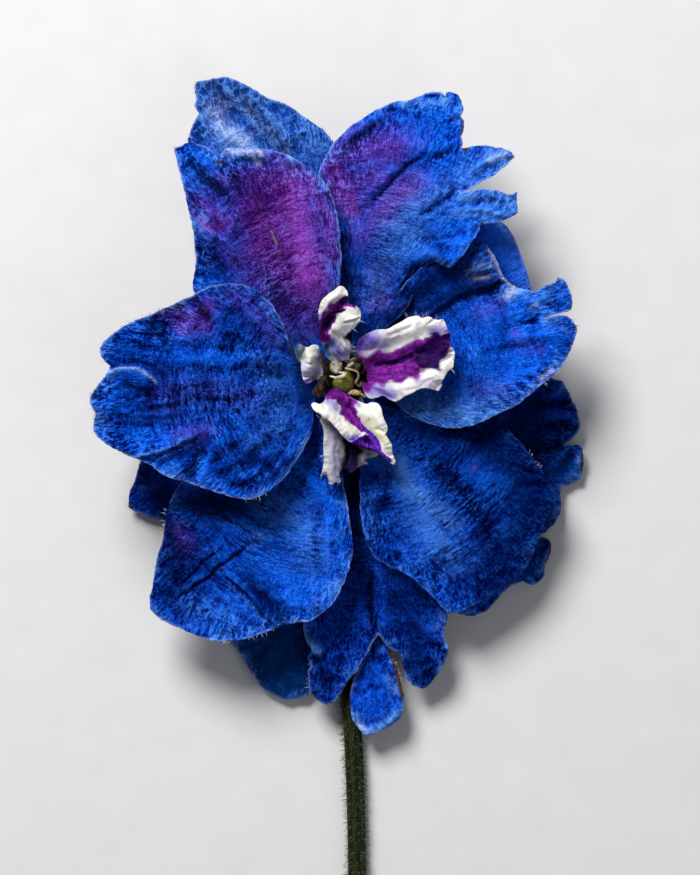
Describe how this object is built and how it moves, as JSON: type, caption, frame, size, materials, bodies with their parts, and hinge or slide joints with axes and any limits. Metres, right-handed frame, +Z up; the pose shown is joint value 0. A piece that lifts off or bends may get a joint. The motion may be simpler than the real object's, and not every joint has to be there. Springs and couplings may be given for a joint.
{
  "type": "delphinium flower",
  "caption": "Semi-double blue and violet delphinium blossom with white and violet bee petals on its hairy green stalk, as picked and lying face up.",
  "frame": {"origin": "middle of the footprint, on the surface that the blossom lies on", "axes": "+Z up, out of the blossom's face; +Y from the stalk's cut end towards the top sepal; +X to the right seen from above with the stalk towards the viewer"},
  "size_m": [0.0522, 0.0926, 0.0138],
  "materials": {
    "stalk_green": "grooved green stalk with dense white hairs",
    "inner_sepal_blue": "satin, finely wrinkled royal blue shading to violet, pale rims",
    "outer_sepal_blue": "satin, wrinkled deeper blue",
    "bee_white": "soft white with a dark violet stripe and fine hairs",
    "carpel_green": "satin olive green",
    "stamen_brown": "dry and withered, matt brown"
  },
  "bodies": {
    "root": {"pedicel": "stalk_green", "inner_sepal_left": "inner_sepal_blue", "inner_sepal_upper_left": "inner_sepal_blue", "inner_sepal_upper_right": "inner_sepal_blue", "inner_sepal_right": "inner_sepal_blue", "inner_sepal_lower_right": "inner_sepal_blue", "inner_sepal_lower_left": "inner_sepal_blue", "outer_sepal_top": "outer_sepal_blue", "outer_sepal_upper_right": "outer_sepal_blue", "outer_sepal_lower_right": "outer_sepal_blue", "outer_sepal_bottom": "outer_sepal_blue", "outer_sepal_tail": "outer_sepal_blue", "outer_sepal_bottom_left": "outer_sepal_blue", "outer_sepal_left": "outer_sepal_blue", "bee_petal_right": "bee_white", "bee_petal_top": "bee_white", "bee_petal_left": "bee_white", "bee_petal_bottom": "bee_white", "bee_petal_lower": "bee_white", "carpel_front": "carpel_green", "carpel_upper_right": "carpel_green", "carpel_upper_left": "carpel_green", "stamen_right_upper": "stamen_brown", "stamen_right_lower": "stamen_brown", "stamen_front_right": "stamen_brown", "stamen_left_front": "stamen_brown", "stamen_back_left": "stamen_brown", "stamen_top": "stamen_brown"}
  },
  "joints": []
}
